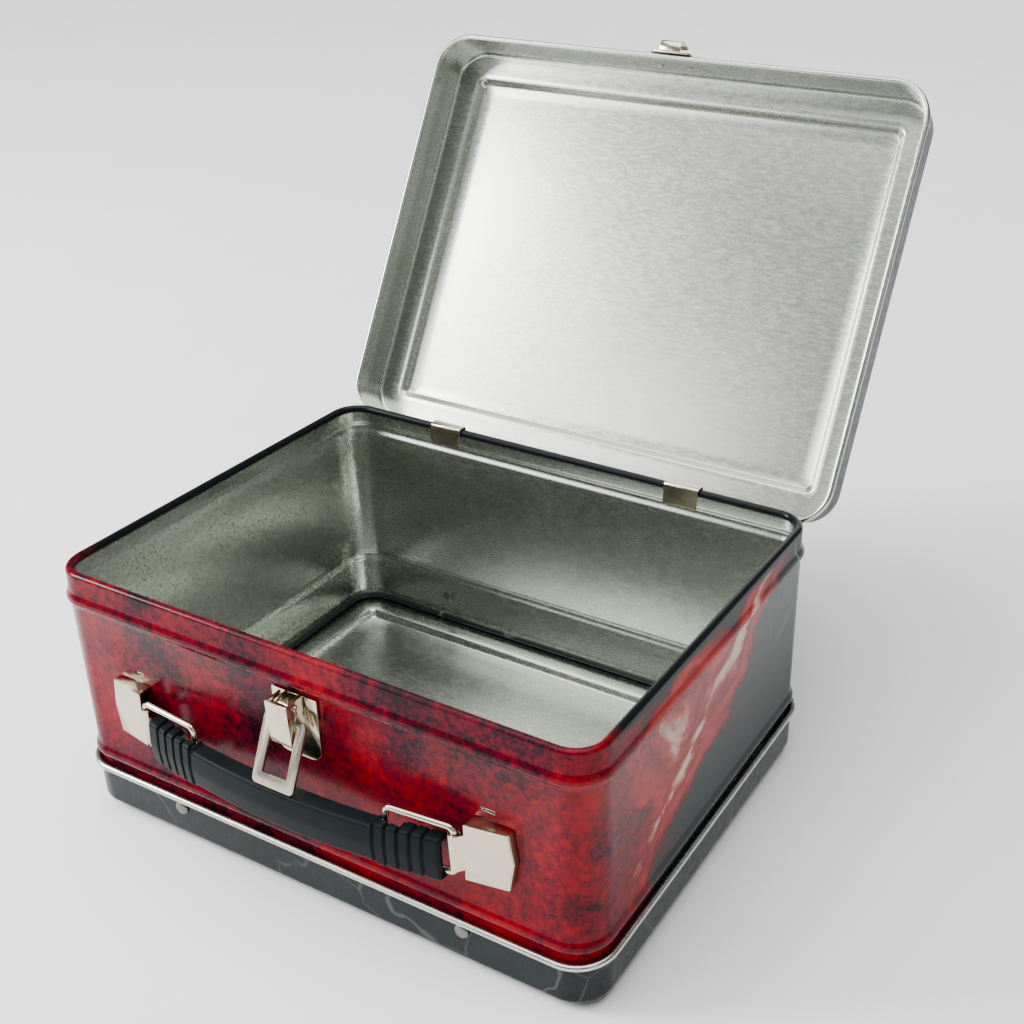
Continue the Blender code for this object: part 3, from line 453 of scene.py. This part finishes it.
def nickel(name, colour, low, high, grain):
    """Polished warm nickel, with hairline scratches and soft cloudiness."""
    n = Nodes(name)
    scratch = n.noise(1.0, 3, place=n.stretch(grain))
    cloud = n.noise(120, 3)
    n.set(Metallic=1.0)
    dark = tuple(part * 0.86 for part in colour)
    n.colour(n.ramp(cloud, [(0.3, dark), (0.7, colour)]))
    n.rough(n.span(n.math("ADD", n.math("MULTIPLY", scratch, 0.6), n.math("MULTIPLY", cloud, 0.4)),
                   0.3, 0.7, low, high))
    n.bump(scratch, 0.06, 0.00004)
    return n.material


def grip_plastic():
    """Semi-matte moulded plastic with a fine spark-eroded texture."""
    n = Nodes("grip_plastic")
    fine = n.noise(1900, 3, 0.6)
    cloud = n.noise(70, 4)
    n.colour(n.ramp(cloud, [(0.3, (0.003, 0.005, 0.006)), (0.7, (0.006, 0.009, 0.011))]))
    n.rough(n.span(n.math("ADD", n.math("MULTIPLY", cloud, 0.5), n.math("MULTIPLY", fine, 0.5)),
                   0.3, 0.7, 0.34, 0.50))
    n.set(IOR=1.20, Specular_IOR_Level=0.3)
    n.bump(fine, 0.18, 0.00008)
    return n.material


def floor_paper():
    """Pale matt paper with a slight cloudiness."""
    n = Nodes("floor_paper")
    n.colour(n.ramp(n.noise(14, 3), [(0.3, (0.93, 0.93, 0.93)), (0.7, (0.96, 0.96, 0.96))]))
    n.set(Roughness=0.85)
    return n.material


# ---------------------------------------------------------------- shells
def pressing_path(gap):
    """Centre line of the tray's and lid's pressing: (standoff, height above its panel)."""
    half = SHEET / 2
    skirt = gap + half
    step = skirt + half - LEDGE_WIDTH
    ledge = PANEL_RAISE + half
    radius = PRESSING_CORNER - half
    path = [(step - STEP_RUN * 2.5, half)]
    for i in range(11):
        share = i / 10
        ease = share * share * (3 - 2 * share)
        path.append((step - STEP_RUN * 0.5 + STEP_RUN * share, half + PANEL_RAISE * ease))
    path.append((step + STEP_RUN * 1.2, ledge))
    path += arc(skirt - radius, ledge + radius, radius, -90, 0, 8)
    roll = CURL_RADIUS - half
    path += arc(skirt + roll, PANEL_RAISE + PRESSING_DEPTH, roll, 180, -65, ROLL_STEPS)
    return path


def bead(bottom):
    """Centre line of a stiffening bead: it rises and falls as a cosine."""
    wall = -SHEET / 2
    points = []
    for i in range(13):
        share = i / 12
        relief = (0.5 - 0.5 * math.cos(2 * math.pi * share)) ** 0.7
        points.append((wall + BEAD_RELIEF * relief, bottom + BEAD_HEIGHT * share))
    return points


def band_path():
    roll = RIM_ROLL - SHEET / 2
    wall = -SHEET / 2
    path = arc(wall - roll, BAND_BOTTOM + RIM_ROLL, roll, -250, 0, ROLL_STEPS)
    path += bead(LOWER_BEAD)
    path += bead(UPPER_BEAD)
    path += arc(wall - roll, RIM_TOP - RIM_ROLL, roll, 0, 250, ROLL_STEPS)
    return path


def add_band(tin, print_material):
    """The band, with slots above and below each bracket for its prongs."""
    band = swept_sheet("band_shell", band_path(), False, None, (tin, print_material))
    for side, node in ((-1, "handle_bracket_left"), (1, "handle_bracket_right")):
        low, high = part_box(node)
        low_x = side * PRONG_X - PRONG_WIDTH / 2
        high_x = side * PRONG_X + PRONG_WIDTH / 2
        centre = (low.z + high.z) / 2
        for edge in (-1, 1):
            z = centre + edge * ((high.z - low.z) / 2 - PRONG_FROM_EDGE)
            cut(band, box_tool((low_x, FRONT - SLOT_REACH, z - PRONG_SLOT / 2),
                               (high_x, FRONT + SLOT_REACH, z + PRONG_SLOT / 2)))
    shade(band)
    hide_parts("body_band")
    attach(band, "box")


def add_tray(tin, print_material):
    tray = swept_sheet("tray_shell", pressing_path(TRAY_GAP), True, None, (tin, print_material))
    shade(tray)
    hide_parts("bottom_tray")
    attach(tray, "box")


def add_lid(tin, print_material):
    """The lid, built closed and then turned about the hinge to the open stop."""
    top = HINGE.z + PRESSING_DEPTH + PANEL_RAISE
    lid = swept_sheet("lid_shell", pressing_path(LID_GAP), True, top, (tin, print_material))
    for node in ("hinge_clip_left", "hinge_clip_right"):
        low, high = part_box(node)
        inner_face = HINGE.y - CURL_RADIUS
        cut(lid, box_tool((low.x - CLIP_SIDE_PLAY, inner_face - 0.2 * MM, HINGE.z),
                          (high.x + CLIP_SIDE_PLAY, inner_face + SHEET + 0.1 * MM,
                           HINGE.z + CLIP_SLOT_HEIGHT)))
    turn = (Matrix.Translation(HINGE) @ Matrix.Rotation(-LID_OPEN, 4, "X")
            @ Matrix.Translation(-HINGE))
    lid.data.transform(turn)
    shade(lid)
    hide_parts("lid")
    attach(lid, "lid")


# ---------------------------------------------------------------- hardware
def softened_copy(node, material, body, width=EASED_EDGE):
    """A CAD node's own shape with its sheared edges eased by a small bevel."""
    source = frame["nodes"][node]
    bm = bmesh.new()
    bm.from_mesh(source.data)
    bmesh.ops.remove_doubles(bm, verts=bm.verts, dist=0.002 * MM)
    bmesh.ops.dissolve_limit(bm, angle_limit=math.radians(2), verts=bm.verts, edges=bm.edges)
    edges = [edge for edge in bm.edges
             if len(edge.link_faces) == 2 and edge.calc_face_angle(0) > math.radians(30)]
    bmesh.ops.bevel(bm, geom=edges, offset=width, segments=2, profile=0.5, affect="EDGES",
                    clamp_overlap=True)
    piece = link(node + "_piece", bm, (material,))
    shade(piece, 50)
    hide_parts(node)
    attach(piece, body)


def add_rivet(node, outward, material, body):
    """A domed rivet in its CAD node's place, with a clinched inner head."""
    low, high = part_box(node)
    centre = (low + high) / 2
    radius = (high.x - low.x) / 2
    turn = outward.to_track_quat("Z", "Y")
    size = Vector((abs(outward.x), abs(outward.y), abs(outward.z)))
    half = (high - low).dot(size) / 2
    dome = radius * 0.42
    shank = radius * 0.48
    clinch = -half + 0.7 * MM
    tiny = 0.0001 * MM
    profile = [(tiny, -half), (radius * 0.7, -half), (radius * 0.88, -half + 0.3 * MM),
               (radius * 0.9, clinch), (shank, clinch), (shank, half - dome),
               (radius, half - dome)]
    for i in range(1, 9):
        angle = math.radians(90 * i / 8)
        profile.append((max(radius * math.cos(angle), tiny),
                        half - dome + dome * math.sin(angle)))
    bm = bmesh.new()
    rings = []
    for r, along in profile:
        ring = []
        for i in range(28):
            angle = 2 * math.pi * i / 28
            local = Vector((r * math.cos(angle), r * math.sin(angle), along))
            ring.append(bm.verts.new(centre + turn @ local))
        rings.append(ring)
    skin_rings(bm, rings)
    bm.faces.new(rings[0])
    bm.faces.new(rings[-1])
    rivet = link(node + "_piece", bm, (material,))
    shade(rivet)
    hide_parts(node)
    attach(rivet, body)


# ---------------------------------------------------------------- handle
GRIP_LOW, GRIP_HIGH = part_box("handle_grip")
GRIP_Z = (GRIP_LOW.z + GRIP_HIGH.z) / 2
GRIP_HALF_LENGTH = (GRIP_HIGH.x - GRIP_LOW.x) / 2
GRIP_HEIGHT_END = GRIP_HIGH.z - GRIP_LOW.z
GRIP_SHOULDER = 1.1 * MM
GRIP_FACE_MIDDLE = FRONT - GRIP_LOW.y
GRIP_FACE_END = GRIP_FACE_MIDDLE - 5.8 * MM
GRIP_BACK_END = FRONT - GRIP_HIGH.y
GRIP_BACK_MIDDLE = GRIP_BACK_END + 4.8 * MM
GRIP_BLOCK_LENGTH = 21 * MM
GRIP_WALL = 1.4 * MM
RIB_START = 34.9 * MM
RIB_PITCH = 3.9 * MM
RIB_COUNT = 5
GROOVE_WIDTH = 1.3 * MM
GROOVE_DEPTH = 0.8 * MM
GRIP_CROWN = 0.5 * MM
GRIP_EDGE_RADIUS = 1.3 * MM
GRIP_END_EASE = 0.8 * MM
TIP_SLOT_START = 35.0 * MM
TIP_SLOT_END = 42.3 * MM
TIP_SLOT_INNER = 6.4 * MM
TIP_SLOT_OUTER = 9.2 * MM
TIP_SLOT_REACH = 3 * MM


def groove_depth(x):
    """How deep the nearest rib groove is at this place along the grip."""
    place = (abs(x) - RIB_START) / RIB_PITCH
    nearest = min(max(round(place), 0), RIB_COUNT - 1)
    distance = abs(place - nearest) * RIB_PITCH / (GROOVE_WIDTH / 2)
    if distance >= 1:
        return 0.0
    return GROOVE_DEPTH * (1 - distance * distance)


def grip_section(x):
    """Section (standoff, z): a rounded face with a crease at mid height, hollow behind."""
    share = (x / GRIP_HALF_LENGTH) ** 2
    end = max(0.0, (abs(x) - GRIP_HALF_LENGTH + GRIP_END_EASE) / GRIP_END_EASE)
    inset = groove_depth(x) + 0.5 * MM * end * end
    face = GRIP_FACE_MIDDLE + (GRIP_FACE_END - GRIP_FACE_MIDDLE) * share
    back = GRIP_BACK_MIDDLE + (GRIP_BACK_END - GRIP_BACK_MIDDLE) * share
    shoulder = (GRIP_HALF_LENGTH - GRIP_BLOCK_LENGTH - abs(x)) / GRIP_SHOULDER
    half = GRIP_HEIGHT_END / 2 - GRIP_SHOULDER * min(max(shoulder, 0.0), 1.0)
    inner_face = face - GRIP_CROWN - GRIP_WALL
    inner_half = half - GRIP_WALL
    face -= inset
    half -= inset * 0.8
    crown = GRIP_CROWN
    radius = GRIP_EDGE_RADIUS
    points = [(back, -half)]
    points += arc(face - crown - radius, -half + radius, radius, -90, 0, 8)
    for i in range(1, 12):
        share = i / 12
        lift = crown * (1 - abs(2 * share - 1) ** 1.3)
        points.append((face - crown + lift, (-half + radius) + 2 * (half - radius) * share))
    points += arc(face - crown - radius, half - radius, radius, 0, 90, 8)
    points += [(back, half), (back, inner_half), (inner_face, inner_half),
               (inner_face, -inner_half), (back, -inner_half)]
    return [(standoff, GRIP_Z + z) for standoff, z in points]


def add_grip(material):
    """The grip, skinned over stations along X that lie closer together at the ribs."""
    stations = [RIB_START * i / 14 * 0.94 for i in range(-14, 15)]
    fine = int((GRIP_HALF_LENGTH - stations[-1]) / (0.22 * MM))
    for i in range(1, fine + 1):
        x = stations[28] + (GRIP_HALF_LENGTH - stations[28]) * i / fine
        stations.append(x)
    stations += [-x for x in stations[29:]]
    bm = bmesh.new()
    rings = []
    for x in sorted(stations):
        rings.append([bm.verts.new((x, FRONT - s, z)) for s, z in grip_section(x)])
    skin_rings(bm, rings)
    bm.faces.new(rings[0])
    bm.faces.new(rings[-1])
    grip = link("grip_shell", bm, (material,))
    for side in (-1, 1):
        for edge in (-1, 1):
            low_x, high_x = sorted((side * TIP_SLOT_START, side * TIP_SLOT_END))
            wall = GRIP_Z + edge * GRIP_HEIGHT_END / 2
            cut(grip, box_tool((low_x, FRONT - TIP_SLOT_OUTER, wall - TIP_SLOT_REACH),
                               (high_x, FRONT - TIP_SLOT_INNER, wall + TIP_SLOT_REACH)))
    shade(grip, 32)
    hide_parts("handle_grip")
    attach(grip, "grip")


def add_loop(node, joint, body, material):
    """A bent wire loop about its joint's axis, with its tips turned down into the grip."""
    low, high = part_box(node)
    pivot = Vector(JOINTS[joint]["pos_m"])
    side = 1 if pivot.x > 0 else -1
    tip = Vector((pivot.x - side * LOOP_LENGTH, pivot.y - LOOP_STANDS_OUT, pivot.z))
    reach = tip - pivot
    length = reach.length
    half = high.z - WIRE_RADIUS - pivot.z
    foot = low.z - pivot.z
    bend = LOOP_BEND
    path = [(length, half - LOOP_UPPER_TIP), (length, half - 2 * LOOP_BEND)]
    path += arc(length - bend, half - bend, bend, 0, 90, 8)
    path += arc(bend, half - bend, bend, 90, 180, 8)
    path += arc(bend, -half + bend, bend, 180, 270, 8)
    path += arc(length - bend * 0.75, -half - bend * 0.75, bend * 0.75, 90, 0, 8)
    path.append((length, foot + 0.02 * MM))
    points = [pivot + reach * (a / length) + Vector((0, 0, b)) for a, b in path]
    bm = bmesh.new()
    rings = []
    normal = Vector((0, 0, 1)).cross(reach).normalized()
    for i, point in enumerate(points):
        along = (points[min(i + 1, len(points) - 1)] - points[max(i - 1, 0)]).normalized()
        across = along.cross(normal)
        ease = 0.75 if i in (0, len(points) - 1) else 1.0
        ring = []
        for k in range(20):
            angle = 2 * math.pi * k / 20
            offset = normal * math.cos(angle) + across * math.sin(angle)
            ring.append(bm.verts.new(point + offset * WIRE_RADIUS * ease))
        rings.append(ring)
    skin_rings(bm, rings)
    bm.faces.new(rings[0])
    bm.faces.new(rings[-1])
    loop = link(node + "_piece", bm, (material,))
    shade(loop, 50)
    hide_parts(node)
    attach(loop, body)


# ---------------------------------------------------------------- studio
def add_floor(material):
    bm = bmesh.new()
    bmesh.ops.create_grid(bm, x_segments=2, y_segments=2, size=6)
    mesh = bpy.data.meshes.new("floor")
    bm.to_mesh(mesh)
    bm.free()
    mesh.materials.append(material)
    floor = bpy.data.objects.new("floor", mesh)
    bpy.context.scene.collection.objects.link(floor)


def add_light(name, place, target, size, power):
    data = bpy.data.lights.new(name, "AREA")
    data.shape = "RECTANGLE"
    data.size, data.size_y = size
    data.energy = power
    light = bpy.data.objects.new(name, data)
    light.location = place
    direction = Vector(target) - Vector(place)
    light.rotation_euler = direction.to_track_quat("-Z", "Y").to_euler()
    bpy.context.scene.collection.objects.link(light)


def add_sun(name, direction, strength, spread):
    data = bpy.data.lights.new(name, "SUN")
    data.energy = strength
    data.angle = math.radians(spread)
    light = bpy.data.objects.new(name, data)
    light.rotation_euler = Vector(direction).to_track_quat("-Z", "Y").to_euler()
    bpy.context.scene.collection.objects.link(light)


def add_studio():
    world = bpy.data.worlds.new("studio")
    world.use_nodes = True
    background = world.node_tree.nodes["Background"]
    background.inputs["Color"].default_value = (0.95, 0.96, 0.97, 1)
    background.inputs["Strength"].default_value = 0.24
    bpy.context.scene.world = world
    add_sun("overhead", (0.12, 0.10, -1), 4.4, 70)
    add_light("key", (-0.75, -1.05, 0.75), (0, 0.0, 0.06), (0.5, 0.4), 3)
    add_light("lid_window", (-0.98, -0.56, 0.70), (-0.07, 0.14, 0.18), (0.40, 0.50), 25)
    add_light("right", (1.1, -0.5, 0.9), (0, 0, 0.05), (0.4, 0.6), 1)


def add_camera():
    """A viewpoint 29 degrees round to the right and 27.5 degrees above."""
    data = bpy.data.cameras.new("camera")
    data.sensor_width = 36
    data.lens = 48.62
    data.shift_x = -0.0879
    data.shift_y = -0.0165
    camera = bpy.data.objects.new("camera", data)
    right = Vector((0.87169, 0.49004, 0.00375))
    up = Vector((-0.22977, 0.40193, 0.88637))
    back = right.cross(up)
    turn = Matrix((right, up, back)).transposed()
    camera.matrix_world = Matrix.Translation((0.24018, -0.32247, 0.31945)) @ turn.to_4x4()
    bpy.context.scene.collection.objects.link(camera)
    bpy.context.scene.camera = camera


# ---------------------------------------------------------------- assembly
tin = tinplate()
black = black_print()
red = band_print()
bright = nickel("bright_nickel", (0.64, 0.575, 0.44), 0.12, 0.22, (90, 900, 900))
satin = nickel("satin_nickel", (0.46, 0.42, 0.335), 0.26, 0.38, (900, 900, 120))
dull = nickel("dull_nickel", (0.20, 0.19, 0.17), 0.34, 0.48, (500, 500, 500))
plastic = grip_plastic()

add_band(tin, red)
add_tray(tin, black)
add_lid(tin, black)
for node in ("hinge_clip_left", "hinge_clip_right", "latch_backplate", "lever_pin",
             "handle_bracket_left", "handle_bracket_right"):
    softened_copy(node, bright, "box")
softened_copy("latch_lever", bright, "lever", EASED_LATCH_EDGE)
softened_copy("latch_bail", satin, "bail", EASED_LATCH_EDGE)
softened_copy("catch_plate", bright, "lid")
for node in ("tray_rivet_front_left", "tray_rivet_front_right"):
    add_rivet(node, Vector((0, -1, 0)), dull, "box")
for node in ("tray_rivet_back_left", "tray_rivet_back_right"):
    add_rivet(node, Vector((0, 1, 0)), dull, "box")
for node in ("catch_rivet_left", "catch_rivet_right"):
    softened_copy(node, bright, "lid", EASED_RIVET_EDGE)
add_grip(plastic)
add_loop("handle_loop_left", "loop_left_hinge", "loop_left", bright)
add_loop("handle_loop_right", "loop_right_hinge", "loop_right", bright)
add_floor(floor_paper())
add_studio()
add_camera()
